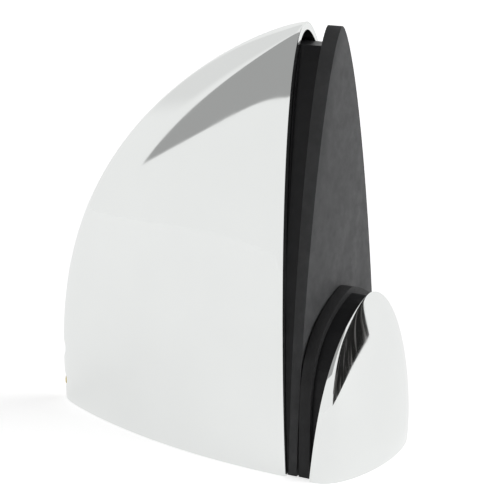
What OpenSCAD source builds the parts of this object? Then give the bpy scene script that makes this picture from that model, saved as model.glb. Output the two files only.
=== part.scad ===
// Two-jaw shelf clamp bracket: a tall beak-shaped fixed jaw and a low moving jaw, closed.
// It stands on the face that goes to the wall: +Z points out of the wall, +X from the fixed
// jaw to the moving jaw, and the origin is midway between the wall screws, on the wall.

/* [Overall] */
// Height of the tall shell above the wall
tall_h = 65.3; // [55:0.1:80]
// Reach of the tall shell from its rim to its nose, at the wall
tall_reach = 48.9; // [44:0.1:62]
// Half width of the tall shell's rim at the wall
tall_half_w = 13.6; // [12.5:0.1:18]
// Height of the low shell above the wall
low_h = 25.9; // [24:0.1:34]
// Reach of the low shell from its rim to its nose, at the wall
low_reach = 6.4; // [6:0.1:12]
// Half width of the low shell's rim where it is widest
low_half_w = 13.7; // [13:0.1:18]
// Thickness of both shell walls
wall = 1.2; // [0.9:0.1:1.6]

/* [Pads] */
// Height of the fixed pad
fixed_pad_h = 65; // [54:0.1:80]
// Half width of the fixed pad at the wall
fixed_pad_half_w = 13.1; // [12:0.1:18]
// Thickness of the fixed pad at the wall
fixed_pad_foot = 1.3; // [1:0.1:2]
// Thickness of the fixed pad at its tip
fixed_pad_tip = 2.4; // [1.6:0.1:3]
// Height of the moving pad
moving_pad_h = 26.3; // [24:0.1:34]
// Half width of the moving pad at the wall
moving_pad_half_w = 13; // [12:0.1:18]
// Thickness of the moving pad
moving_pad_t = 1.8; // [1.4:0.1:2.4]
// Gap between the two pads when the jaws are closed
closed_gap = 0.3; // [0.2:0.05:1]

/* [Rims] */
// Distance from the fixed pad's face back to the tall shell's rim, at the wall
tall_rim_back = 1.55; // [1.4:0.05:3]
// How far the tall rim leans back over each millimetre of height
tall_rim_lean = 0.067; // [0.03:0.001:0.1]
// Distance from the fixed pad's face forward to the low shell's rim, at the wall
low_rim_ahead = 2.4; // [2.3:0.05:4]
// How far the low rim leans forward over each millimetre of height
low_rim_lean = 0.11; // [0.05:0.005:0.15]
// Depth of the fixed core behind its pad above the mechanism
tongue_depth = 11; // [8:0.5:16]
// Drop from the tall pad's tip to the flat crest of the fixed core
crest_drop = 2.8; // [2:0.1:5]

/* [Clamp drive] */
// Travel of the moving jaw
travel = 16; // [10:0.5:18]
// Height of the clamp drive's axis above the wall
drive_z = 8.8; // [8.6:0.1:10]
// Radius of the jaw stud over its thread
stud_r = 2.45; // [2:0.05:2.6]
// Outer radius of the sleeve nut
sleeve_r = 3.4; // [3.2:0.05:3.6]
// Radius of the sleeve nut's collar
collar_r = 4.6; // [4.4:0.1:5]
// Thickness of the sleeve nut's collar
collar_t = 1.8; // [1.2:0.1:2]
// Threaded length at the mouth of the sleeve nut
thread_len = 8; // [6:0.5:10]
// Distance from the fixed pad's face back to the sleeve nut's mouth
sleeve_mouth = 14; // [12:0.5:15]
// Distance from the fixed pad's face back to the thrust plate
thrust_back = 33; // [31:0.5:34]
// Thickness of the thrust plate
thrust_t = 2; // [1.5:0.1:2.5]
// Width across the flats of the sleeve nut's hex socket
drive_key = 2.5; // [2:0.5:3]
// Radius of the guide pins
pin_r = 1.5; // [1.2:0.1:1.6]
// Height of the guide pins above the wall
pin_z = 17; // [16:0.5:18]
// Distance of each guide pin from the middle plane
pin_y = 5.5; // [5:0.1:5.8]

/* [Wall fixing] */
// Distance from the wall screw centre to the fixed pad's face
face_x = 17; // [16:0.5:18]
// Distance between the two wall screws
screw_gap = 16; // [14:0.5:17]
// Radius of the wall screw holes
screw_hole_r = 2.2; // [1.8:0.1:2.3]
// Radius of the wall screw countersinks
screw_sink_r = 3.9; // [3.4:0.1:4]
// Thickness of the wall plate
plate_t = 2.5; // [2.2:0.1:2.7]
// Half width of the wall plate at its wide upper face
plate_half_w = 6; // [5.6:0.1:6.2]
// Height of the lock screw's axis above the wall
lock_z = 3.4; // [3.3:0.1:3.6]
// Radius of the lock screw
lock_r = 1.5; // [1.2:0.1:1.6]
// Distance from the nose in to the lock screw's end
lock_sunk = 0.7; // [0.2:0.1:1.5]
// Half width of the wall plate's tail, which carries the lock screw's tab
tail_half_w = 4; // [3.4:0.1:4.4]
// Length of the wall plate's tail behind the thrust plate
tail_len = 5; // [4:0.1:5.4]

/* [Small screws] */
// Radius of the core screws' shanks
shank_r = 1.4; // [1.2:0.1:1.5]
// Radius of the core screws' heads
head_r = 2.6; // [2.2:0.1:2.7]
// Length of the core screws
core_screw_len = 9; // [7:0.5:11]

/* [Hidden] */
// Shape exponents of the outlines: rise is along Z, then the power of what is left
TALL_RIM = [1.45, 0.52];
TALL_CREST = [2.46, 0.758];
TALL_PAD = [1.4, 0.65];
LOW_RIM = [2.8, 0.6];
LOW_CREST = [1.6, 1.2];
LOW_PAD = [5, 0.8];
// Section of each shell: power along the reach, then how blunt the nose is
TALL_NOSE = [2.05, 0.3];
LOW_NOSE = [2.7, 8];

clear = 0.3;         // room around pieces that are only trapped
slip = 0.05;         // radial room of a running fit
ease = 0.1;          // room around pieces that slide in once
snug = 0.02;         // radial room of a pressed fit
under = 0.2;         // how far the cores stay off the wall
end_room = 0.4;      // room past the end of a rod or a screw
far = 100;           // longer than the whole part
plug_lap = 0.2;      // overlap that joins a core's plug to its neck
thread_grip = 6;     // stud thread still in the sleeve nut when the jaw is fully open
pin_guide = 12;      // pin length still in the fixed core when the jaw is fully open
socket_depth = 3;
socket_floor = 0.6;  // sleeve nut's wall between its socket and its bore
bore_relief = 0.15;  // extra radius of the sleeve nut's bore past its thread
stud_end = sleeve_mouth + travel + thread_grip;
pin_tip = travel + pin_guide;
sleeve_back = stud_end + end_room + socket_floor + socket_depth;
plug_back = sleeve_back + 3;  // fixed pad's face to the back of the fixed core's plug
washer_t = 1;
clip_t = 0.8;
clip_r = 4.6;
clip_mouth = 3.8;
groove_depth = 0.4;  // depth of the clip's groove in the sleeve nut
thrust_border = 0.7; // thrust plate's border past the sleeve nut's collar
mechanism_h = 24;    // height of the deep part of the fixed core
key_hole_r = drive_key / sqrt(3) + ease;
sleeve_bore_r = stud_r + slip;
stud_head = 8;       // across the flats of the stud's square head
stud_head_t = 2.4;
stud_head_x = closed_gap + moving_pad_t;
head_lap = 0.5;      // how far the stud's shank runs into its head
pin_seat = 2.9;      // length of each pin in the moving core
tab_t = 2;
tab_h = drive_z - sleeve_r - clear - ease;
plate_front = 4;     // fixed pad's face to the front of the wall plate
plate_undercut = 1;
lock_boss_r = lock_r + 1.2;
lock_boss_len = 7;
lock_socket = 2;     // depth of the lock screw's hex socket
key_bore = 7;        // depth of the key hole's drilling from the nose
slot_w = 0.5;        // width of a small screw's cross slot
slot_depth = 0.8;
core_screw_x = 12;   // fixed pad's face to the fixed core's screws
core_screw_y = 9.3;
core_ear = 3.6;      // core thickness under each screw boss
boss_wall = 1;
boss_roof = 1.5;     // boss past the end of its screw
low_screw_y = 9;
low_screw_z = 8;
low_shank_r = 1;
low_head_r = 1.7;
low_screw_len = 3.6;
low_ear = 2.4;       // core thickness under each boss of the low shell
low_boss_cover = 2.6;  // low shell's nose past the end of its bosses
low_hole_cover = 1.8;  // low shell's nose past the end of its screw holes
low_core_inset = 0.6;  // moving core's outline inside the moving pad's
low_crest_drop = 1;    // drop from the moving pad's tip to the moving core's crest

// ---- outlines and surfaces -------------------------------------------------------------

// What is left of 1 at height share u, for the two exponents of an outline
function taper(u, e) = pow(max(0, 1 - pow(u, e[0])), e[1]);

// Half width share of a shell's section at the share xi of its reach
function section(xi, nose) =
    let (s = 1 - pow(xi, nose[0])) sqrt((s * s + nose[1] * s) / (1 + nose[1]));

// Height shares that crowd towards the tip and stop just short of it
function shares(n) = [for (i = [0 : n]) sin(90 * i / (n + 0.35))];

// One ring of a shell, from the near rim round the nose to the far rim
function ring(u, n, w, h, reach, rim, crest, nose, x, lean, way) =
    let (z = h * u, half = w * taper(u, rim), deep = reach * taper(u, crest))
    [for (j = [0 : n]) let (a = -90 + 180 * j / n)
        [x + way * (lean * z + deep * cos(a)), sign(a) * half * section(cos(a), nose), z]];

function rings(n, m, w, h, reach, rim, crest, nose, x, lean, way) =
    [for (u = shares(n)) each ring(u, m, w, h, reach, rim, crest, nose, x, lean, way)];

// Quads of a grid of n + 1 rings of m + 1 points that starts at point number first
function grid(n, m, first, flip) = [for (i = [0 : n - 1]) for (j = [0 : m - 1])
    let (a = first + i * (m + 1) + j, q = [a, a + 1, a + m + 2, a + m + 1])
    flip ? [q[3], q[2], q[1], q[0]] : q];

function row(m, first) = [for (j = [0 : m]) first + j];
function back(list) = [for (i = [len(list) - 1 : -1 : 0]) list[i]];

// Thickness of the fixed pad at height z
function pad_back(z) =
    fixed_pad_foot + (fixed_pad_tip - fixed_pad_foot) * z / fixed_pad_h;

// A solid beak: the space inside a shell's outer skin
module beak(n, m, w, h, reach, rim, crest, nose, x, lean, way) {
    top = n * (m + 1);
    front = [for (i = [0 : n - 1]) [i * (m + 1), (i + 1) * (m + 1),
                                    (i + 1) * (m + 1) + m, i * (m + 1) + m]];
    faces = concat(grid(n, m, 0, false), front, [back(row(m, 0)), row(m, top)]);
    polyhedron(rings(n, m, w, h, reach, rim, crest, nose, x, lean, way),
               [for (f = faces) way < 0 ? f : back(f)], convexity = 6);
}

// A beak-shaped shell, open at its rim and at the wall
module shell(n, m, w, h, reach, rim, crest, nose, x, lean, way) {
    count = (n + 1) * (m + 1);
    top = n * (m + 1);
    foot = [for (j = [0 : m - 1]) [j, count + j, count + j + 1, j + 1]];
    near = [for (i = [0 : n - 1]) let (a = i * (m + 1))
        [a, a + m + 1, count + a + m + 1, count + a]];
    away = [for (i = [0 : n - 1]) let (a = i * (m + 1) + m)
        [a, count + a, count + a + m + 1, a + m + 1]];
    lip = [[top, top + m, count + top + m, count + top]];
    faces = concat(grid(n, m, 0, false), grid(n, m, count, true), foot, near, away, lip,
                   [row(m, top), back(row(m, count + top))]);
    points = concat(rings(n, m, w, h, reach, rim, crest, nose, x, lean, way),
                    rings(n, m, w - wall, h - wall, reach - wall, rim, crest, nose,
                          x, lean, way));
    polyhedron(points, [for (f = faces) way < 0 ? f : back(f)], convexity = 8);
}

// Points of a pad outline, across and up
function pad_outline(w, h, e, n) = concat(
    [for (i = [0 : n]) let (u = sin(90 * i / n)) [w * taper(u, e), h * u]],
    [for (i = [n - 1 : -1 : 0]) let (u = sin(90 * i / n)) [-w * taper(u, e), h * u]]);

// A plate in the Y-Z plane, from x to x + t
module plate_yz(points, x, t) {
    translate([x, 0, 0]) rotate([90, 0, 90]) linear_extrude(t) polygon(points);
}

// A prism across the part, from points along X and up
module wedge(points) {
    translate([0, far / 2, 0]) rotate([90, 0, 0]) linear_extrude(far) polygon(points);
}

// A rod along X from x to x + len
module rod(r, x, len, y = 0, z = drive_z) {
    translate([x, y, z]) rotate([0, 90, 0]) cylinder(r = r, h = len, $fn = 48);
}

// A countersunk screw standing on the wall side, head down
module sunk_screw(shank, head, len) {
    difference() {
        union() {
            cylinder(r1 = head, r2 = shank, h = head - shank, $fn = 40);
            cylinder(r = shank, h = len, $fn = 40);
        }
        for (turn = [0, 90]) rotate(turn) translate([-head / 2, -slot_w / 2, -1])
            cube([head, slot_w, 1 + slot_depth]);
    }
}

// The hole of a countersunk screw whose head lies against z = 0
module sunk_hole(shank, head, len) {
    rotate_extrude($fn = 40)
        polygon([[0, -1], [head, -1], [head, 0], [shank, head - shank], [shank, len], [0, len]]);
}

module both_sides() {
    children();
    mirror([0, 1, 0]) children();
}

// Everything is drawn from the fixed pad's face, then moved to the wall screw centre
module at_face() {
    translate([face_x, 0, 0]) children();
}

// ---- fixed jaw -------------------------------------------------------------------------

module tall_beak(inset, n, m, ahead = 0) {
    beak(n, m, tall_half_w - inset, tall_h - inset, tall_reach - inset,
         TALL_RIM, TALL_CREST, TALL_NOSE, ahead - tall_rim_back, tall_rim_lean, -1);
}

module tall_shell() {
    nose_x = -tall_rim_back - tall_reach;
    boss_r = shank_r + boss_wall;
    boss_h = core_screw_len - core_ear + boss_roof;
    color([0.86, 0.87, 0.88]) at_face() difference() {
        union() {
            shell(30, 32, tall_half_w, tall_h, tall_reach, TALL_RIM, TALL_CREST,
                  TALL_NOSE, -tall_rim_back, tall_rim_lean, -1);
            // the boss of the lock screw fills the nose at the wall
            intersection() {
                tall_beak(wall / 2, 12, 20);
                rod(lock_boss_r, nose_x, lock_boss_len, 0, lock_z);
            }
            // the bosses that take the core screws hang from the side walls
            both_sides() intersection() {
                tall_beak(wall / 2, 12, 20);
                translate([-core_screw_x, core_screw_y, core_ear]) union() {
                    cylinder(r = boss_r, h = boss_h, $fn = 40);
                    translate([-boss_r, 0, 0]) cube([2 * boss_r, far, boss_h]);
                }
            }
        }
        rod(lock_r + slip, nose_x - 1, lock_boss_len + 2, 0, lock_z);
        rod(key_hole_r, nose_x - 1, 1 + key_bore);
        both_sides() translate([-core_screw_x, core_screw_y, core_ear - 1])
            cylinder(r = shank_r + slip, h = core_screw_len - core_ear + 1 + end_room, $fn = 40);
    }
}

module fixed_core() {
    rim_top = tall_rim_back + tall_rim_lean * tall_h;
    crest = fixed_pad_h - crest_drop;
    pocket_r = shank_r + boss_wall + clear;
    pocket_h = core_screw_len - core_ear + boss_roof + end_room + ease;
    color([0.09, 0.09, 0.09]) at_face() difference() {
        union() {
            // the neck stands between the pad and the rim, flush with the pad's edge
            intersection() {
                plate_yz(pad_outline(fixed_pad_half_w, fixed_pad_h, TALL_PAD, 24), -far / 2,
                         far);
                wedge([[-pad_back(under), under], [-pad_back(crest), crest],
                       [-rim_top + ease, crest], [-tall_rim_back + ease, under]]);
            }
            // the plug fills the shell's mouth: deep round the drive, shallow above it
            intersection() {
                tall_beak(wall + clear, 18, 22, plug_lap);
                wedge([[-plug_back, under], [-plug_back, mechanism_h],
                       [-tall_rim_back - tongue_depth, mechanism_h],
                       [-rim_top - tongue_depth, crest], [0, crest], [0, under]]);
            }
        }
        // dovetail groove of the wall plate, open towards the nose
        translate([-thrust_back - ease, 0, 0]) rotate([90, 0, 90])
            linear_extrude(thrust_back + 2 * ease - plate_front)
                polygon(dovetail(ease, plate_t + ease));
        translate([-plug_back - 1, -tail_half_w - ease, -1])
            cube([plug_back + 1 - thrust_back, 2 * (tail_half_w + ease), tab_h + ease + 1]);
        // bores of the drive: stud, sleeve nut, thrust stack and key
        rod(stud_r + clear, -sleeve_mouth - 1, sleeve_mouth + 2);
        rod(sleeve_r + 2 * ease, -plug_back - 1, plug_back + 1 - sleeve_mouth + clear);
        rod(collar_r + clear, -plug_back - 1, plug_back + 1 - thrust_back);
        translate([-thrust_back - ease, -thrust_half() - ease, 0])
            cube([thrust_t + 2 * ease, 2 * (thrust_half() + ease), thrust_top() + ease]);
        rod(clip_r + clear, -thrust_back, thrust_t + clip_t + 2 * clear);
        both_sides() {
            rod(pin_r + slip, -pin_tip - 1, pin_tip + 2, pin_y, pin_z);
            translate([-core_screw_x, core_screw_y, 0]) {
                translate([0, 0, under + ease])
                    sunk_hole(shank_r + ease, head_r + ease, core_ear);
                translate([0, 0, core_ear - ease])
                    cylinder(r = pocket_r, h = pocket_h, $fn = 40);
                translate([-pocket_r, 0, core_ear - ease]) cube([2 * pocket_r, far, pocket_h]);
            }
        }
    }
}

module fixed_pad() {
    color([0.2, 0.2, 0.2]) at_face() difference() {
        intersection() {
            plate_yz(pad_outline(fixed_pad_half_w, fixed_pad_h, TALL_PAD, 40), -far / 2, far);
            wedge([[0, under], [0, fixed_pad_h + 1], [-pad_back(fixed_pad_h + 1), fixed_pad_h + 1],
                   [-pad_back(under), under]]);
        }
        rod(stud_r + clear, -far / 2, far);
        both_sides() rod(pin_r + clear, -far / 2, far, pin_y, pin_z);
    }
}

// Dovetail section of the wall plate, grown by gap
function dovetail(gap, t) = [[-plate_half_w + plate_undercut - gap, -1],
    [plate_half_w - plate_undercut + gap, -1], [plate_half_w - plate_undercut + gap, 0],
    [plate_half_w + gap, t], [-plate_half_w - gap, t],
    [-plate_half_w + plate_undercut - gap, 0]];

function thrust_half() = collar_r + thrust_border;
function thrust_top() = drive_z + thrust_half();

module wall_plate() {
    color([0.72, 0.73, 0.74]) at_face() difference() {
        union() {
            intersection() {
                translate([-thrust_back, 0, 0]) rotate([90, 0, 90])
                    linear_extrude(thrust_back - plate_front) polygon(dovetail(0, plate_t));
                translate([-far, -far / 2, 0]) cube([far, far, plate_t]);
            }
            // the tail and the upturned tab that the lock screw bears on
            translate([-thrust_back - tail_len, -tail_half_w, 0])
                cube([tail_len + 1, 2 * tail_half_w, plate_t]);
            translate([-thrust_back - tail_len, -tail_half_w, 0])
                cube([tab_t, 2 * tail_half_w, tab_h]);
        }
        for (side = [-1, 1]) translate([side * screw_gap / 2 - face_x, 0, 0]) {
            translate([0, 0, plate_t]) mirror([0, 0, 1])
                sunk_hole(screw_hole_r, screw_sink_r, plate_t + 1);
        }
    }
}

module lock_screw() {
    start = -tall_rim_back - tall_reach + lock_sunk;
    color([0.78, 0.68, 0.36]) at_face() difference() {
        rod(lock_r, start, -thrust_back - tail_len - clear - start, 0, lock_z);
        translate([start - 1, 0, lock_z]) rotate([0, 90, 0])
            cylinder(r = lock_r / sqrt(3), h = 1 + lock_socket, $fn = 6);
    }
}

module core_screws() {
    color([0.7, 0.71, 0.72]) at_face() both_sides()
        translate([-core_screw_x, core_screw_y, under + ease])
            sunk_screw(shank_r, head_r, core_screw_len);
}

module thrust_plate() {
    color([0.7, 0.71, 0.72]) at_face() difference() {
        translate([-thrust_back, -thrust_half(), tab_h + 2 * ease])
            cube([thrust_t, 2 * thrust_half(), thrust_top() - tab_h - 2 * ease]);
        rod(sleeve_r + slip, -thrust_back - 1, thrust_t + 2);
    }
}

module thrust_washer() {
    color([0.8, 0.66, 0.36]) at_face() difference() {
        rod(collar_r, -thrust_back - washer_t, washer_t);
        rod(sleeve_r + slip, -thrust_back - washer_t - 1, washer_t + 2);
    }
}

// ---- clamp drive -----------------------------------------------------------------------

module sleeve_nut() {
    groove_x = -thrust_back + thrust_t + ease;
    color([0.72, 0.73, 0.74]) at_face() difference() {
        union() {
            rod(sleeve_r, -sleeve_back, sleeve_back - sleeve_mouth);
            rod(collar_r, -thrust_back - washer_t - ease - collar_t, collar_t);
        }
        rod(sleeve_bore_r, -sleeve_mouth - thread_len, thread_len + 1);
        rod(sleeve_bore_r + bore_relief, -stud_end - end_room,
            stud_end + end_room - sleeve_mouth - thread_len);
        translate([-sleeve_back - 1, 0, drive_z]) rotate([0, 90, 0])
            cylinder(r = drive_key / sqrt(3), h = 1 + socket_depth, $fn = 6);
        difference() {
            rod(sleeve_r + 1, groove_x, clip_t);
            rod(sleeve_r - groove_depth, groove_x - 1, clip_t + 2);
        }
    }
}

module retaining_clip() {
    clip_x = -thrust_back + thrust_t + ease;
    color([0.45, 0.46, 0.48]) at_face() difference() {
        rod(clip_r, clip_x + ease / 2, clip_t - ease);
        rod(sleeve_r - groove_depth + snug, clip_x - 1, clip_t + 2);
        translate([clip_x - 1, -clip_mouth / 2, drive_z])
            cube([clip_t + 2, clip_mouth, far]);
    }
}

// ---- moving jaw ------------------------------------------------------------------------

module low_beak(inset, n, m, ahead = 0) {
    beak(n, m, low_half_w - inset, low_h - inset, low_reach - inset,
         LOW_RIM, LOW_CREST, LOW_NOSE, low_rim_ahead - ahead, low_rim_lean, 1);
}

module low_shell() {
    boss_x = closed_gap + moving_pad_t + low_ear;
    boss_end = low_rim_ahead + low_reach - low_boss_cover;
    hole_end = low_rim_ahead + low_reach - low_hole_cover;
    color([0.86, 0.87, 0.88]) at_face() difference() {
        union() {
            shell(22, 26, low_half_w, low_h, low_reach, LOW_RIM, LOW_CREST, LOW_NOSE,
                  low_rim_ahead, low_rim_lean, 1);
            both_sides() rod(low_shank_r + boss_wall, boss_x, boss_end - boss_x,
                             low_screw_y, low_screw_z);
        }
        both_sides() rod(low_shank_r + slip, boss_x - 1, hole_end - boss_x,
                         low_screw_y, low_screw_z);
    }
}

module moving_core() {
    back_x = closed_gap + moving_pad_t;
    rim_top = low_rim_ahead + low_rim_lean * low_h;
    crest = moving_pad_h - low_crest_drop;
    outline = pad_outline(moving_pad_half_w - low_core_inset, crest, LOW_PAD, 20);
    color([0.09, 0.09, 0.09]) at_face() difference() {
        union() {
            intersection() {
                plate_yz(outline, back_x, far / 2);
                wedge([[back_x, under], [back_x, crest], [rim_top - ease, crest],
                       [low_rim_ahead - ease, under]]);
            }
            intersection() {
                low_beak(wall + clear, 14, 18, plug_lap);
                plate_yz(outline, back_x, far / 2);
                translate([back_x, -far / 2, under]) cube([far, far, far]);
            }
        }
        // the stud's square head and the guide pins are pushed in from the pad side
        translate([back_x - 1, -stud_head / 2 - slip, drive_z - stud_head / 2 - slip])
            cube([stud_head_t + 1 + slip, stud_head + 2 * slip, stud_head + 2 * slip]);
        both_sides() {
            rod(pin_r + snug, back_x - 1, pin_seat + 1, pin_y, pin_z);
            translate([back_x + ease, low_screw_y, low_screw_z]) rotate([0, 90, 0])
                sunk_hole(low_shank_r + ease, low_head_r + ease, low_ear);
            rod(low_shank_r + boss_wall + clear, back_x + low_ear - ease, far,
                low_screw_y, low_screw_z);
        }
    }
}

module moving_pad() {
    color([0.12, 0.12, 0.12]) at_face() difference() {
        intersection() {
            plate_yz(pad_outline(moving_pad_half_w, moving_pad_h, LOW_PAD, 30), closed_gap,
                     moving_pad_t);
            translate([-far, -far / 2, under]) cube([2 * far, far, far]);
        }
        rod(stud_r + clear, -1, 10);
        both_sides() rod(pin_r + ease, -1, 10, pin_y, pin_z);
    }
}

module jaw_stud() {
    color([0.72, 0.73, 0.74]) at_face() union() {
        rod(stud_r, -stud_end, stud_end + stud_head_x + head_lap);
        translate([stud_head_x, -stud_head / 2, drive_z - stud_head / 2])
            cube([stud_head_t, stud_head, stud_head]);
    }
}

module guide_pins() {
    color([0.75, 0.76, 0.77]) at_face() both_sides()
        rod(pin_r, -pin_tip, pin_tip + stud_head_x + pin_seat - ease, pin_y, pin_z);
}

module moving_core_screws() {
    color([0.7, 0.71, 0.72]) at_face() both_sides()
        translate([closed_gap + moving_pad_t + ease, low_screw_y, low_screw_z])
            rotate([0, 90, 0]) sunk_screw(low_shank_r, low_head_r, low_screw_len);
}

tall_shell();
fixed_core();
fixed_pad();
wall_plate();
lock_screw();
core_screws();
thrust_plate();
thrust_washer();
sleeve_nut();
retaining_clip();
low_shell();
moving_core();
moving_pad();
jaw_stud();
guide_pins();
moving_core_screws();
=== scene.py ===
"""Two-jaw shelf clamp bracket: chromed shells, soft pads and the clamp drive between them."""

import math

import bmesh
import bpy
from bpy.props import FloatProperty, FloatVectorProperty, IntProperty, PointerProperty
from bpy.types import Operator, Panel, PropertyGroup
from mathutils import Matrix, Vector


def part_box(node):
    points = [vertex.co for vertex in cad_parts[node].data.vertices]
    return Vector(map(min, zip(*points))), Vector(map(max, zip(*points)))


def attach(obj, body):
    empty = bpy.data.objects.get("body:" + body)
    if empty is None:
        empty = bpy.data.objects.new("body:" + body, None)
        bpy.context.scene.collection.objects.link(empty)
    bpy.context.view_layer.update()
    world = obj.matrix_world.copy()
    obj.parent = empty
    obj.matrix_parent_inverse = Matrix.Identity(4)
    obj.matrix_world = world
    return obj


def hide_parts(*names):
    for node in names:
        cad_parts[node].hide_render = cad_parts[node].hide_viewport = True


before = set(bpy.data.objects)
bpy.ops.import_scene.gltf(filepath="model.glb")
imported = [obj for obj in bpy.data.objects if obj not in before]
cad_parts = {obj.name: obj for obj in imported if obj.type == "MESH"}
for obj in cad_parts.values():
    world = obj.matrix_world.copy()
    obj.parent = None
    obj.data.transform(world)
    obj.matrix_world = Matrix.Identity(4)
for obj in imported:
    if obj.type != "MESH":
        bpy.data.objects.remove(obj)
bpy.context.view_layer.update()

bl_info = {
    "name": "Shelf clamp bracket",
    "version": (1, 0, 0),
    "blender": (4, 5, 0),
    "location": "View3D > Sidebar > Bracket",
    "description": "Builds the shells, pads and finishes of a two-jaw shelf clamp bracket",
    "category": "Add Mesh",
}

MM = 0.001
FACE_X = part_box("fixed_pad")[1].x  # the fixed pad's face, where a shelf is clamped
SINK_GAP = 0.02 * MM

# Shape exponents of the outlines: rise along Z, then the power of what is left
TALL_RIM = (1.45, 0.52)
TALL_CREST = (2.46, 0.758)
TALL_PAD = (1.4, 0.65)
LOW_RIM = (2.8, 0.6)
LOW_CREST = (1.6, 1.2)
LOW_PAD = (5.0, 0.8)
# Section of each shell: power along the reach, then how blunt the nose is
TALL_NOSE = (2.05, 0.3)
LOW_NOSE = (2.7, 8.0)


def length(name, description, default):
    return FloatProperty(name=name, description=description, default=default, unit="LENGTH",
                         subtype="DISTANCE")


def colour(name, description, default):
    return FloatVectorProperty(name=name, description=description, default=default, size=3,
                               subtype="COLOR", min=0, max=1)


class BracketShells(PropertyGroup):
    tall_rim_back: length("Tall rim back", "Fixed pad's face back to the tall rim at the wall",
                          1.55 * MM)
    tall_rim_lean: FloatProperty(name="Tall rim lean", default=0.067,
                                 description="Lean of the tall rim for each metre of height")
    tall_reach: length("Tall reach", "Rim to nose of the tall shell at the wall", 48.9 * MM)
    tall_half_width: length("Tall half width", "Half width of the tall rim at the wall",
                            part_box("tall_shell")[1].y)
    tall_height: length("Tall height", "Height of the tall shell", 65.3 * MM)
    low_rim_ahead: length("Low rim ahead", "Fixed pad's face forward to the low rim", 2.4 * MM)
    low_rim_lean: FloatProperty(name="Low rim lean", default=0.11,
                                description="Lean of the low rim for each metre of height")
    low_reach: length("Low reach", "Rim to nose of the low shell at the wall", 6.4 * MM)
    low_half_width: length("Low half width", "Half width of the low rim", 13.7 * MM)
    low_height: length("Low height", "Height of the low shell", 25.9 * MM)
    wall: length("Wall", "Wall thickness of both shells", 1.2 * MM)
    rings: IntProperty(name="Rings", description="Rings up each shell", default=72, min=8)
    spokes: IntProperty(name="Spokes", description="Spokes round each shell", default=96, min=8)


class BracketPads(PropertyGroup):
    fixed_height: length("Fixed pad height", "Height of the fixed pad", 65 * MM)
    fixed_half_width: length("Fixed pad half width", "Half width at the wall",
                             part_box("fixed_pad")[1].y)
    fixed_foot: length("Fixed pad foot", "Thickness of the fixed pad at the wall", 1.3 * MM)
    fixed_tip: length("Fixed pad tip", "Thickness of the fixed pad at its tip", 2.4 * MM)
    moving_height: length("Moving pad height", "Height of the moving pad", 26.3 * MM)
    moving_half_width: length("Moving pad half width", "Half width at the wall", 13 * MM)
    moving_thickness: length("Moving pad thickness", "Thickness of the moving pad", 1.8 * MM)
    edge: length("Edge radius", "Rounding of the pads' edges", 0.22 * MM)


class BracketDrive(PropertyGroup):
    stud_radius: length("Stud radius", "Radius over the jaw stud's thread", 2.45 * MM)
    stud_root: length("Stud root", "Radius under the jaw stud's thread", 2.0 * MM)
    stud_head: length("Stud head", "Thickness of the jaw stud's square head", 2.4 * MM)
    plain_shank: length("Plain shank", "Unthreaded shank under the head", 3 * MM)
    point: length("Point", "Unthreaded point of the stud", 0.8 * MM)
    pitch: length("Pitch", "Pitch of the thread", 0.8 * MM)
    edge: length("Edge radius", "Rounding of the stud's edges", 0.2 * MM)


class BracketFinishes(PropertyGroup):
    chrome: colour("Chrome", "Chrome plate", (0.84, 0.855, 0.845))
    black: colour("Black plastic", "Moulded cores", (0.014, 0.014, 0.015))
    grey: colour("Grey pad", "Soft fixed pad", (0.085, 0.086, 0.088))
    dark: colour("Black pad", "Soft moving pad", (0.036, 0.036, 0.037))
    zinc: colour("Zinc", "Zinc-plated steel", (0.62, 0.63, 0.65))
    spring: colour("Spring steel", "Dark phosphated clip", (0.16, 0.16, 0.17))
    yellow: colour("Yellow zinc", "Yellow passivated lock screw", (0.72, 0.58, 0.26))
    brass: colour("Brass", "Thrust washer", (0.78, 0.58, 0.27))
    floor: colour("Floor", "Studio floor", (0.86, 0.86, 0.86))


# ---- materials -------------------------------------------------------------------------


def new_material(name):
    material = bpy.data.materials.new(name)
    material.use_nodes = True
    tree = material.node_tree
    return material, tree, tree.nodes["Principled BSDF"]


def add(tree, kind, **settings):
    node = tree.nodes.new(kind)
    for key, value in settings.items():
        setattr(node, key, value)
    return node


def noise(tree, scale, detail=3.0, roughness=0.5, stretch=(1, 1, 1)):
    """Noise on object coordinates; scale is in waves per metre."""
    where = add(tree, "ShaderNodeTexCoord")
    mapping = add(tree, "ShaderNodeMapping")
    mapping.inputs["Scale"].default_value = stretch
    tree.links.new(where.outputs["Object"], mapping.inputs["Vector"])
    texture = add(tree, "ShaderNodeTexNoise")
    texture.inputs["Scale"].default_value = scale
    texture.inputs["Detail"].default_value = detail
    texture.inputs["Roughness"].default_value = roughness
    tree.links.new(mapping.outputs["Vector"], texture.inputs["Vector"])
    return texture.outputs["Fac"]


def spread(tree, value, low, high, start=0.35, stop=0.65):
    """Maps the middle of a noise to the range low to high."""
    node = add(tree, "ShaderNodeMapRange")
    node.inputs["From Min"].default_value = start
    node.inputs["From Max"].default_value = stop
    node.inputs["To Min"].default_value = low
    node.inputs["To Max"].default_value = high
    tree.links.new(value, node.inputs["Value"])
    return node.outputs["Result"]


def tint(tree, value, dark, light):
    ramp = add(tree, "ShaderNodeValToRGB")
    ramp.color_ramp.elements[0].color = (*dark, 1)
    ramp.color_ramp.elements[1].color = (*light, 1)
    ramp.color_ramp.elements[0].position = 0.3
    ramp.color_ramp.elements[1].position = 0.7
    tree.links.new(value, ramp.inputs["Fac"])
    return ramp.outputs["Color"]


def bump(tree, shader, value, height, strength=1.0):
    node = add(tree, "ShaderNodeBump")
    node.inputs["Strength"].default_value = strength
    node.inputs["Distance"].default_value = height
    tree.links.new(value, node.inputs["Height"])
    tree.links.new(node.outputs["Normal"], shader.inputs["Normal"])


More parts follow.
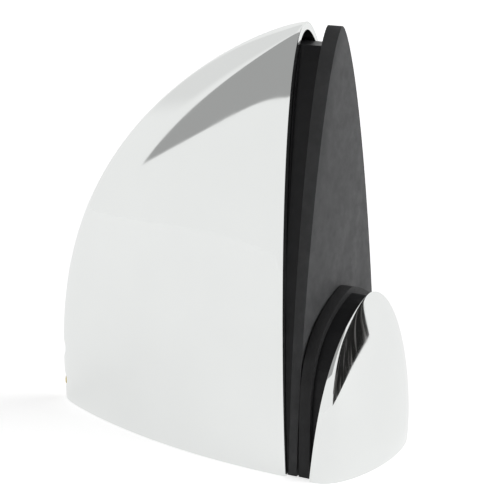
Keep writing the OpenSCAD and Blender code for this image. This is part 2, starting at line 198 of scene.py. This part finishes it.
def shade(value, factor):
    return tuple(min(1.0, c * factor) for c in value)


def chrome_material(name, base):
    """Bright chrome over a cast and polished shell: a little haze and faint polishing waves."""
    material, tree, shader = new_material(name)
    shader.inputs["Metallic"].default_value = 1
    tree.links.new(tint(tree, noise(tree, 90, 2), shade(base, 0.985), base),
                   shader.inputs["Base Color"])
    tree.links.new(spread(tree, noise(tree, 260, 4), 0.035, 0.06), shader.inputs["Roughness"])
    bump(tree, shader, noise(tree, 120, 1.5), 0.012 * MM, 0.6)
    return material


def moulded_material(name, base, rough, grain, sheen=0.2):
    """Moulded plastic or soft pad: fine grain, and slight wear in colour and gloss."""
    material, tree, shader = new_material(name)
    shader.inputs["Specular IOR Level"].default_value = sheen
    tree.links.new(tint(tree, noise(tree, 420, 5, 0.6), shade(base, 0.86), shade(base, 1.12)),
                   shader.inputs["Base Color"])
    tree.links.new(spread(tree, noise(tree, 900, 4), rough - 0.06, rough + 0.06),
                   shader.inputs["Roughness"])
    bump(tree, shader, noise(tree, 5200, 3, 0.6), grain, 0.7)
    return material


def plated_material(name, base, rough, stretch=(1, 1, 1)):
    """Turned or ground metal, with fine lines along the way it was worked."""
    material, tree, shader = new_material(name)
    shader.inputs["Metallic"].default_value = 1
    tree.links.new(tint(tree, noise(tree, 700, 4), shade(base, 0.82), base),
                   shader.inputs["Base Color"])
    tree.links.new(spread(tree, noise(tree, 2600, 3, 0.5, stretch), rough - 0.07, rough + 0.08),
                   shader.inputs["Roughness"])
    bump(tree, shader, noise(tree, 3200, 2, 0.5, stretch), 0.01 * MM, 0.5)
    return material


def paint(piece, material):
    piece.data.materials.clear()
    piece.data.materials.append(material)


# ---- modelling -------------------------------------------------------------------------


def taper(share, shape):
    return max(0.0, 1 - share ** shape[0]) ** shape[1]


def section(share, nose):
    rest = max(0.0, 1 - share ** nose[0])
    return math.sqrt((rest * rest + nose[1] * rest) / (1 + nose[1]))


def only(piece):
    """Selects piece alone and makes it active."""
    if bpy.context.object and bpy.context.object.mode != "OBJECT":
        bpy.ops.object.mode_set(mode="OBJECT")
    bpy.ops.object.select_all(action="DESELECT")
    if piece:
        piece.select_set(True)
        bpy.context.view_layer.objects.active = piece


def named(name):
    piece = bpy.context.object
    piece.name = piece.data.name = name
    return piece


def apply_modifiers(piece):
    only(piece)
    for modifier in list(piece.modifiers):
        bpy.ops.object.modifier_apply(modifier=modifier.name)


def soften(piece, width, segments=3, angle=40):
    """Rounds the sharp edges and shades the rest smooth."""
    only(piece)
    bevel = piece.modifiers.new("edges", "BEVEL")
    bevel.width = width
    bevel.segments = segments
    bevel.limit_method = "ANGLE"
    bevel.angle_limit = math.radians(angle)
    bevel.use_clamp_overlap = True
    bpy.ops.object.modifier_apply(modifier=bevel.name)
    bpy.ops.object.shade_smooth_by_angle(angle=math.radians(35))


def rod_along_x(radius, start, stop, y, z, vertices=64):
    only(None)
    bpy.ops.mesh.primitive_cylinder_add(vertices=vertices, radius=radius, depth=stop - start,
                                        location=((start + stop) / 2, y, z),
                                        rotation=(0, math.pi / 2, 0))
    bpy.ops.object.transform_apply(location=True, rotation=True, scale=True)
    return bpy.context.object


def round_edges(piece, width):
    """Rounds the edges of a piece that keeps its own mesh."""
    weld = piece.modifiers.new("weld", "WELD")
    weld.merge_threshold = 0.001 * MM
    bevel = piece.modifiers.new("edges", "BEVEL")
    bevel.width = width
    bevel.segments = 2
    bevel.limit_method = "ANGLE"
    bevel.angle_limit = math.radians(50)


def thread_ridge(radius, root, start, turns, pitch):
    """The ridge of a screw thread round the X axis."""
    only(None)
    bpy.ops.mesh.primitive_plane_add(size=root)
    ridge = bpy.context.object
    bpy.ops.object.mode_set(mode="EDIT")
    bpy.ops.mesh.select_all(action="SELECT")
    bpy.ops.mesh.merge(type="CENTER")
    bpy.ops.transform.translate(value=(start, 0, root))
    for shift in ((0.42 * pitch, 0, radius - root), (0.12 * pitch, 0, 0),
                  (0.42 * pitch, 0, root - radius)):
        bpy.ops.mesh.extrude_vertices_move(TRANSFORM_OT_translate={"value": shift})
    bpy.ops.object.mode_set(mode="OBJECT")
    screw = ridge.modifiers.new("turns", "SCREW")
    screw.axis = "X"
    screw.screw_offset = pitch
    screw.iterations = turns
    screw.steps = screw.render_steps = 32
    bpy.ops.object.modifier_apply(modifier=screw.name)
    return ridge


def join_as(name, pieces):
    only(pieces[0])
    for piece in pieces[1:]:
        piece.select_set(True)
    bpy.ops.object.join()
    return named(name)


def cut(piece, tools):
    """Cuts the tools out of piece and removes them."""
    for tool in tools:
        only(piece)
        boolean = piece.modifiers.new("cut", "BOOLEAN")
        boolean.operation = "DIFFERENCE"
        boolean.solver = "EXACT"
        boolean.object = tool
        bpy.ops.object.modifier_apply(modifier=boolean.name)
        bpy.data.objects.remove(tool, do_unlink=True)


def loft_shell(name, rings, spokes, height, half_width, reach, rim, crest, nose, rim_x, lean,
               way):
    """Draws the section at the wall as half a circle shaped by its formula, then extrudes it
    up ring by ring, drawn in across the jaws and towards the rim at each step."""
    only(None)
    bpy.ops.mesh.primitive_circle_add(vertices=2 * spokes, radius=1, fill_type="NOTHING")
    piece = named(name)
    bpy.ops.object.mode_set(mode="EDIT")
    bpy.ops.mesh.select_mode(type="VERT")
    bpy.ops.mesh.select_all(action="DESELECT")
    mesh = bmesh.from_edit_mesh(piece.data)
    for vertex in mesh.verts:
        vertex.select = vertex.co.x < -1e-5
    bmesh.update_edit_mesh(piece.data)
    bpy.ops.mesh.delete(type="VERT")
    mesh = bmesh.from_edit_mesh(piece.data)
    for vertex in mesh.verts:
        share = max(0.0, vertex.co.x)
        side = math.copysign(1, vertex.co.y) if abs(vertex.co.y) > 1e-6 else 0
        vertex.co = (rim_x + way * reach * share, side * half_width * section(share, nose), 0)
    bmesh.update_edit_mesh(piece.data)
    bpy.ops.mesh.select_all(action="SELECT")
    bpy.ops.mesh.select_mode(type="EDGE")
    z, deep, wide = 0.0, 1.0, 1.0
    for ring in range(1, rings + 1):
        share = math.sin(math.pi / 2 * ring / (rings + 0.35))
        rise = height * share - z
        z += rise
        shift = way * lean * rise
        bpy.ops.mesh.extrude_region_move(TRANSFORM_OT_translate={"value": (shift, 0, rise)})
        new_deep, new_wide = taper(share, crest), taper(share, rim)
        bpy.ops.transform.resize(value=(new_deep / deep, new_wide / wide, 1),
                                 center_override=(rim_x + way * lean * z, 0, z))
        deep, wide = new_deep, new_wide
    bpy.ops.mesh.merge(type="CENTER")
    bpy.ops.mesh.select_all(action="SELECT")
    bpy.ops.mesh.remove_doubles(threshold=1e-7)
    bpy.ops.mesh.normals_make_consistent(inside=False)
    bpy.ops.object.mode_set(mode="OBJECT")
    return piece


def face_outwards(piece, centre):
    """Turns the skin's faces away from a point inside it."""
    only(piece)
    face = max(piece.data.polygons, key=lambda f: f.area)
    if (face.center - Vector(centre)).dot(face.normal) < 0:
        bpy.ops.object.mode_set(mode="EDIT")
        bpy.ops.mesh.select_all(action="SELECT")
        bpy.ops.mesh.flip_normals()
        bpy.ops.object.mode_set(mode="OBJECT")


def close_shell(outer, inner):
    """Joins the inner skin to the outer one and bridges the rim and the foot between them."""
    only(inner)
    bpy.ops.object.mode_set(mode="EDIT")
    bpy.ops.mesh.select_all(action="SELECT")
    bpy.ops.mesh.flip_normals()
    bpy.ops.object.mode_set(mode="OBJECT")
    only(outer)
    inner.select_set(True)
    bpy.ops.object.join()
    bpy.ops.object.mode_set(mode="EDIT")
    bpy.ops.mesh.select_mode(type="EDGE")
    bpy.ops.mesh.select_all(action="DESELECT")
    bpy.ops.mesh.select_non_manifold(extend=False)
    bpy.ops.mesh.bridge_edge_loops()
    bpy.ops.mesh.select_all(action="SELECT")
    bpy.ops.mesh.normals_make_consistent(inside=False)
    bpy.ops.object.mode_set(mode="OBJECT")
    return outer


def shell_body(name, sizes, height, half_width, reach, rim_x, lean, curves, way):
    """A shell open at its rim and its foot: an outer and an inner skin, a wall apart."""
    skins = []
    for skin, wall in ((name, 0), (name + "_lining", sizes.wall)):
        piece = loft_shell(skin, sizes.rings, sizes.spokes, height - wall, half_width - wall,
                           reach - wall, *curves, rim_x, lean, way)
        face_outwards(piece, (rim_x + way * 0.3 * reach, 0, 0.2 * height))
        skins.append(piece)
    return close_shell(*skins)


def pad_plate(name, height, half_width, shape, front, foot, tip, base, points=72):
    """A pad: a disc shaped to the pad's outline, extruded back to its thickness."""
    only(None)
    bpy.ops.mesh.primitive_circle_add(vertices=4 * points, radius=1, fill_type="NGON")
    piece = named(name)
    bpy.ops.object.mode_set(mode="EDIT")
    mesh = bmesh.from_edit_mesh(piece.data)
    for vertex in mesh.verts:
        if vertex.co.y < -1e-5:
            vertex.co.z = vertex.co.x
        share = abs(vertex.co.y) if vertex.co.y > 0 else 0.0
        wide = half_width * taper(min(1.0, share), shape)
        if vertex.co.y < -1e-5:
            vertex.co = (front, half_width * vertex.co.x, base)
        else:
            side = 0 if abs(vertex.co.x) < 1e-6 else math.copysign(1, vertex.co.x)
            vertex.co = (front, side * wide, max(base, height * share))
    bmesh.update_edit_mesh(piece.data)
    bpy.ops.mesh.select_all(action="SELECT")
    bpy.ops.mesh.remove_doubles(threshold=0.01 * MM)
    bpy.ops.mesh.select_all(action="SELECT")
    bpy.ops.mesh.extrude_region_move(TRANSFORM_OT_translate={"value": (foot, 0, 0)})
    mesh = bmesh.from_edit_mesh(piece.data)
    for vertex in mesh.verts:
        if vertex.select:
            vertex.co.x += (tip - foot) * vertex.co.z / height
    bmesh.update_edit_mesh(piece.data)
    bpy.ops.mesh.select_all(action="SELECT")
    bpy.ops.mesh.normals_make_consistent(inside=False)
    bpy.ops.object.mode_set(mode="OBJECT")
    return piece


def drive_holes(front, back, stud_gap, pin_gap):
    """Cutters for the jaw stud and the guide pins through a pad."""
    stud_low, stud_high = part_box("jaw_stud")
    pin_low, pin_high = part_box("guide_pins")
    stud_z = (stud_low.z + stud_high.z) / 2
    stud_r = 2.45 * MM
    pin_z = (pin_low.z + pin_high.z) / 2
    pin_r = (pin_high.z - pin_low.z) / 2
    pin_y = pin_high.y - pin_r
    return [rod_along_x(stud_r + stud_gap, back, front, 0, stud_z),
            rod_along_x(pin_r + pin_gap, back, front, pin_y, pin_z),
            rod_along_x(pin_r + pin_gap, back, front, -pin_y, pin_z)]


# ---- operators -------------------------------------------------------------------------


class BRACKET_OT_tall_shell(Operator):
    """Make the tall chromed shell with its key hole and lock screw hole"""
    bl_idname = "bracket.tall_shell"
    bl_label = "Tall shell"

    def execute(self, context):
        sizes, finish = context.scene.bracket_shells, context.scene.bracket_finishes
        rim_x = FACE_X - sizes.tall_rim_back
        piece = shell_body("tall_shell_skin", sizes, sizes.tall_height, sizes.tall_half_width,
                           sizes.tall_reach, rim_x, sizes.tall_rim_lean,
                           (TALL_RIM, TALL_CREST, TALL_NOSE), -1)
        nose_x = rim_x - sizes.tall_reach
        lock_low, lock_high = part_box("lock_screw")
        stud_low, stud_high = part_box("jaw_stud")
        lock_r = (lock_high.z - lock_low.z) / 2
        cut(piece, [
            rod_along_x(lock_r + 0.05 * MM, nose_x - 2 * MM, nose_x + 9 * MM, 0,
                        (lock_low.z + lock_high.z) / 2),
            rod_along_x(1.54 * MM, nose_x - 2 * MM, nose_x + 9 * MM, 0,
                        (stud_low.z + stud_high.z) / 2),
        ])
        soften(piece, 0.16 * MM)
        paint(piece, chrome_material("chrome_tall", finish.chrome))
        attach(piece, "fixed_jaw")
        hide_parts("tall_shell")
        return {"FINISHED"}


class BRACKET_OT_low_shell(Operator):
    """Make the low chromed shell of the moving jaw"""
    bl_idname = "bracket.low_shell"
    bl_label = "Low shell"

    def execute(self, context):
        sizes, finish = context.scene.bracket_shells, context.scene.bracket_finishes
        rim_x = FACE_X + sizes.low_rim_ahead
        piece = shell_body("low_shell_skin", sizes, sizes.low_height, sizes.low_half_width,
                           sizes.low_reach, rim_x, sizes.low_rim_lean,
                           (LOW_RIM, LOW_CREST, LOW_NOSE), 1)
        soften(piece, 0.16 * MM)
        paint(piece, chrome_material("chrome_low", finish.chrome))
        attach(piece, "moving_jaw")
        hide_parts("low_shell")
        return {"FINISHED"}


class BRACKET_OT_jaw_stud(Operator):
    """Make the jaw stud with its rolled thread and square head"""
    bl_idname = "bracket.jaw_stud"
    bl_label = "Jaw stud"

    def execute(self, context):
        sizes, finish = context.scene.bracket_drive, context.scene.bracket_finishes
        low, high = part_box("jaw_stud")
        axis_z = (low.z + high.z) / 2
        head = high.z - low.z
        head_x = high.x - sizes.stud_head
        thread_end = head_x - sizes.plain_shank
        turns = int((thread_end - low.x - sizes.point) / sizes.pitch)
        ridge = thread_ridge(sizes.stud_radius, sizes.stud_root, low.x + sizes.point, turns,
                             sizes.pitch)
        root = rod_along_x(sizes.stud_root + 0.03 * MM, low.x, head_x, 0, 0)
        shank = rod_along_x(sizes.stud_radius, thread_end, head_x + 0.2 * MM, 0, 0)
        bpy.ops.mesh.primitive_cube_add(size=1, location=(high.x - sizes.stud_head / 2, 0, 0),
                                        scale=(sizes.stud_head, head, head))
        bpy.ops.object.transform_apply(location=True, rotation=True, scale=True)
        block = bpy.context.object
        for piece in (root, shank, block):
            soften(piece, sizes.edge)
        stud = join_as("jaw_stud_threaded", [ridge, root, shank, block])
        bpy.ops.object.mode_set(mode="EDIT")
        bpy.ops.mesh.select_all(action="SELECT")
        bpy.ops.transform.translate(value=(0, 0, axis_z))
        bpy.ops.mesh.normals_make_consistent(inside=False)
        bpy.ops.object.mode_set(mode="OBJECT")
        paint(stud, plated_material("zinc_thread", finish.zinc, 0.28))
        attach(stud, "moving_jaw")
        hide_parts("jaw_stud")
        return {"FINISHED"}


class BRACKET_OT_pads(Operator):
    """Make the two soft pads that meet the shelf"""
    bl_idname = "bracket.pads"
    bl_label = "Pads"

    def execute(self, context):
        sizes, finish = context.scene.bracket_pads, context.scene.bracket_finishes
        foot_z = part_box("fixed_pad")[0].z
        fixed = pad_plate("fixed_pad_skin", sizes.fixed_height, sizes.fixed_half_width,
                          TALL_PAD, FACE_X, -sizes.fixed_foot, -sizes.fixed_tip, foot_z)
        cut(fixed, drive_holes(FACE_X + 2 * MM, FACE_X - 6 * MM, 0.3 * MM, 0.3 * MM))
        soften(fixed, sizes.edge)
        paint(fixed, moulded_material("grey_pad", finish.grey, 0.55, 0.02 * MM))
        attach(fixed, "fixed_jaw")
        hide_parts("fixed_pad")
        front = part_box("moving_pad")[0].x
        moving = pad_plate("moving_pad_skin", sizes.moving_height, sizes.moving_half_width,
                           LOW_PAD, front, sizes.moving_thickness, sizes.moving_thickness,
                           foot_z)
        cut(moving, drive_holes(front + 6 * MM, front - 2 * MM, 0.3 * MM, 0.1 * MM))
        soften(moving, sizes.edge)
        paint(moving, moulded_material("black_pad", finish.dark, 0.5, 0.02 * MM))
        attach(moving, "moving_jaw")
        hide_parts("moving_pad")
        return {"FINISHED"}


class BRACKET_OT_frame_finishes(Operator):
    """Give the pieces that keep their own shape their finishes"""
    bl_idname = "bracket.frame_finishes"
    bl_label = "Finishes of the inner pieces"

    def execute(self, context):
        finish = context.scene.bracket_finishes
        black = moulded_material("black_plastic", finish.black, 0.42, 0.01 * MM)
        zinc = plated_material("zinc_steel", finish.zinc, 0.3)
        turned = plated_material("turned_steel", finish.zinc, 0.26, (6, 1, 1))
        finishes = {
            "fixed_core": black,
            "moving_core": black,
            "wall_plate": zinc,
            "thrust_plate": zinc,
            "core_screws": zinc,
            "moving_core_screws": zinc,
            "sleeve_nut": turned,
            "jaw_stud": turned,
            "guide_pins": plated_material("ground_steel", shade(finish.zinc, 1.1), 0.16,
                                          (8, 1, 1)),
            "retaining_clip": plated_material("spring_steel", finish.spring, 0.4),
            "lock_screw": plated_material("yellow_zinc", finish.yellow, 0.3),
            "thrust_washer": plated_material("brass", finish.brass, 0.28),
        }
        for node, material in finishes.items():
            paint(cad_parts[node], material)
            round_edges(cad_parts[node], 0.14 * MM)
        return {"FINISHED"}


class BRACKET_OT_stage(Operator):
    """Make the floor, the studio light and the camera"""
    bl_idname = "bracket.stage"
    bl_label = "Stage"

    def execute(self, context):
        make_floor(context.scene.bracket_finishes.floor)
        make_card()
        make_world()
        make_camera()
        context.scene.view_settings.view_transform = "Standard"
        return {"FINISHED"}


# ---- stage -----------------------------------------------------------------------------

CAMERA_AZIMUTH = 29.98
CAMERA_ELEVATION = 14.61
CAMERA_DISTANCE = 278.77 * MM
CAMERA_LENS = 131.17
CAMERA_TARGET = (FACE_X - 15.43 * MM, 0, 29.65 * MM)


def towards(azimuth, elevation):
    """Unit vector to a point in the studio; azimuth 0 is -Y, as for the camera."""
    a, e = math.radians(azimuth), math.radians(elevation)
    return Vector((math.sin(a) * math.cos(e), -math.cos(a) * math.cos(e), math.sin(e)))


def make_camera():
    back = towards(CAMERA_AZIMUTH, CAMERA_ELEVATION)
    data = bpy.data.cameras.new("camera")
    camera = bpy.data.objects.new("camera", data)
    bpy.context.scene.collection.objects.link(camera)
    data.lens = CAMERA_LENS
    data.sensor_width = 36
    data.clip_start, data.clip_end = 0.01, 50
    camera.location = Vector(CAMERA_TARGET) + back * CAMERA_DISTANCE
    camera.rotation_mode = "QUATERNION"
    camera.rotation_quaternion = (-back).to_track_quat("-Z", "Y")
    bpy.context.scene.camera = camera


def make_floor(base):
    only(None)
    bpy.ops.mesh.primitive_plane_add(size=6, location=(0, 0, -SINK_GAP))
    bpy.ops.object.transform_apply(location=True, rotation=True, scale=True)
    floor = named("floor")
    material, tree, shader = new_material("floor")
    shader.inputs["Roughness"].default_value = 0.9
    shader.inputs["Specular IOR Level"].default_value = 0.1
    shader.inputs["Emission Color"].default_value = (1, 1, 1, 1)
    light = add(tree, "ShaderNodeLightPath")
    pale = add(tree, "ShaderNodeMix", data_type="RGBA")
    pale.inputs["A"].default_value = (*base, 1)
    pale.inputs["B"].default_value = (*shade(base, 0.3), 1)
    tree.links.new(light.outputs["Is Glossy Ray"], pale.inputs["Factor"])
    tree.links.new(pale.outputs["Result"], shader.inputs["Base Color"])
    lift = choose(tree, light.outputs["Is Glossy Ray"], 0, FLOOR_MIRRORED)
    lift = choose(tree, light.outputs["Is Camera Ray"], lift, FLOOR_SEEN)
    tree.links.new(lift, shader.inputs["Emission Strength"])
    paint(floor, material)


def times(tree, first, second):
    node = add(tree, "ShaderNodeMath", operation="MULTIPLY")
    for socket, value in zip(node.inputs, (first, second)):
        if isinstance(value, (int, float)):
            socket.default_value = value
        else:
            tree.links.new(value, socket)
    return node.outputs["Value"]


def choose(tree, which, off, on):
    """off where which is 0 and on where it is 1."""
    node = add(tree, "ShaderNodeMix", data_type="FLOAT")
    tree.links.new(which, node.inputs["Factor"])
    for socket, value in ((node.inputs["A"], off), (node.inputs["B"], on)):
        if isinstance(value, (int, float)):
            socket.default_value = value
        else:
            tree.links.new(value, socket)
    return node.outputs["Result"]


def ramp_to(tree, value, start, stop, low, high):
    edge = add(tree, "ShaderNodeMapRange", interpolation_type="SMOOTHSTEP")
    edge.inputs["From Min"].default_value = start
    edge.inputs["From Max"].default_value = stop
    edge.inputs["To Min"].default_value = low
    edge.inputs["To Max"].default_value = high
    tree.links.new(value, edge.inputs["Value"])
    return edge.outputs["Result"]


def along(tree, direction, axis):
    dot = add(tree, "ShaderNodeVectorMath", operation="DOT_PRODUCT")
    tree.links.new(direction, dot.inputs[0])
    dot.inputs[1].default_value = axis
    return dot.outputs["Value"]


def spot(tree, direction, azimuth, elevation, inner, outer, level):
    """1 outside a round place of the studio, and level in its middle."""
    return ramp_to(tree, along(tree, direction, towards(azimuth, elevation)),
                   math.cos(math.radians(outer)), math.cos(math.radians(inner)), 1, level)


def screen(tree, direction, corners, level, blur):
    """1 outside a flat screen with these corners, level inside it."""
    inside = 1
    for first, second in zip(corners, corners[1:] + corners[:1]):
        edge = towards(*first).cross(towards(*second)).normalized()
        inside = times(tree, inside,
                       ramp_to(tree, along(tree, direction, edge), -blur, blur, 0, 1))
    return choose(tree, inside, 1, level)


def make_card():
    """A dark upright card round the front of the bracket that only mirrors show."""
    only(None)
    bpy.ops.mesh.primitive_cylinder_add(vertices=128, radius=CARD_AWAY, depth=CARD_HEIGHT,
                                        end_fill_type="NOTHING",
                                        location=(0, 0, CARD_FOOT + CARD_HEIGHT / 2))
    bpy.ops.object.transform_apply(location=True, rotation=True, scale=True)
    card = named("card")
    start, stop = CARD_SPAN
    bpy.ops.object.mode_set(mode="EDIT")
    for azimuth in (start + 90, stop - 90):
        bpy.ops.mesh.select_all(action="SELECT")
        bpy.ops.mesh.bisect(plane_co=(0, 0, 0), plane_no=towards(azimuth, 0),
                            clear_inner=True)
    bpy.ops.object.mode_set(mode="OBJECT")
    material, tree, shader = new_material("card")
    shader.inputs["Base Color"].default_value = (0.01, 0.01, 0.01, 1)
    shader.inputs["Specular IOR Level"].default_value = 0
    shader.inputs["Emission Color"].default_value = (1, 0.97, 0.95, 1)
    streaks = spread(tree, noise(tree, 34, 3, 0.6, (1, 1, 0.35)), 0.012, 0.5, 0.52, 0.78)
    tree.links.new(streaks, shader.inputs["Emission Strength"])
    paint(card, material)
    card.visible_camera = card.visible_diffuse = card.visible_shadow = False


CARD_AWAY = 170 * MM
CARD_FOOT = 7 * MM
CARD_HEIGHT = 80 * MM
CARD_SPAN = (58, 138)  # azimuths

# Screens of the studio that only mirrors show: corners as azimuth and elevation, going round
# anticlockwise seen from the bracket, then their brightness and the blur of their edges
SCREENS = (
    (((-72.5, 7), (-30, 19.5), (10, 24), (20, 58), (-60, 58)), 0.42, 0.006),
    (((-112, 14), (-76, 18), (-64, 52), (-120, 60)), 0.86, 0.05),
    (((54, 4), (104, 4), (107, 26), (60, 42), (54, 38)), 0.03, 0.012),
)
MIRROR_LEVEL = 0.95
FLOOR_MIRRORED = 0.82
FLOOR_SEEN = 0.75
SOFT_LEVEL = 0.13  # light that falls on matt surfaces from all round
KEY_LEVEL = 3.6    # the soft light ahead of the moving jaw
KEY_FROM = (110, 27, 8, 38)


def make_world():
    world = bpy.data.worlds.new("studio")
    bpy.context.scene.world = world
    world.use_nodes = True
    tree = world.node_tree
    background = tree.nodes["Background"]
    direction = add(tree, "ShaderNodeTexCoord").outputs["Generated"]
    mirrored = MIRROR_LEVEL
    for corners, level, blur in SCREENS:
        mirrored = times(tree, mirrored, screen(tree, direction, corners, level, blur))
    key = spot(tree, direction, *KEY_FROM, KEY_LEVEL / SOFT_LEVEL)
    light = add(tree, "ShaderNodeLightPath")
    strength = choose(tree, light.outputs["Is Glossy Ray"], times(tree, key, SOFT_LEVEL),
                      mirrored)
    strength = choose(tree, light.outputs["Is Camera Ray"], strength, 1)
    tree.links.new(strength, background.inputs["Strength"])
    background.inputs["Color"].default_value = (1, 1, 1, 1)


# ---- panel and registration ------------------------------------------------------------


class BRACKET_PT_panel(Panel):
    """Lists the steps that build the bracket"""
    bl_label = "Shelf clamp bracket"
    bl_idname = "BRACKET_PT_panel"
    bl_space_type = "VIEW_3D"
    bl_region_type = "UI"
    bl_category = "Bracket"

    def draw(self, context):
        for step in STEPS:
            self.layout.operator(step.bl_idname)


STEPS = (BRACKET_OT_tall_shell, BRACKET_OT_low_shell, BRACKET_OT_jaw_stud,
         BRACKET_OT_pads, BRACKET_OT_frame_finishes, BRACKET_OT_stage)
GROUPS = (("bracket_shells", BracketShells), ("bracket_pads", BracketPads),
          ("bracket_drive", BracketDrive),
          ("bracket_finishes", BracketFinishes))


def register():
    for name, group in GROUPS:
        bpy.utils.register_class(group)
        setattr(bpy.types.Scene, name, PointerProperty(type=group))
    for step in STEPS:
        bpy.utils.register_class(step)
    bpy.utils.register_class(BRACKET_PT_panel)


def unregister():
    bpy.utils.unregister_class(BRACKET_PT_panel)
    for step in reversed(STEPS):
        bpy.utils.unregister_class(step)
    for name, group in reversed(GROUPS):
        delattr(bpy.types.Scene, name)
        bpy.utils.unregister_class(group)


def main():
    register()
    bpy.ops.bracket.tall_shell()
    bpy.ops.bracket.low_shell()
    bpy.ops.bracket.jaw_stud()
    bpy.ops.bracket.pads()
    bpy.ops.bracket.frame_finishes()
    bpy.ops.bracket.stage()


if __name__ == "__main__":
    main()
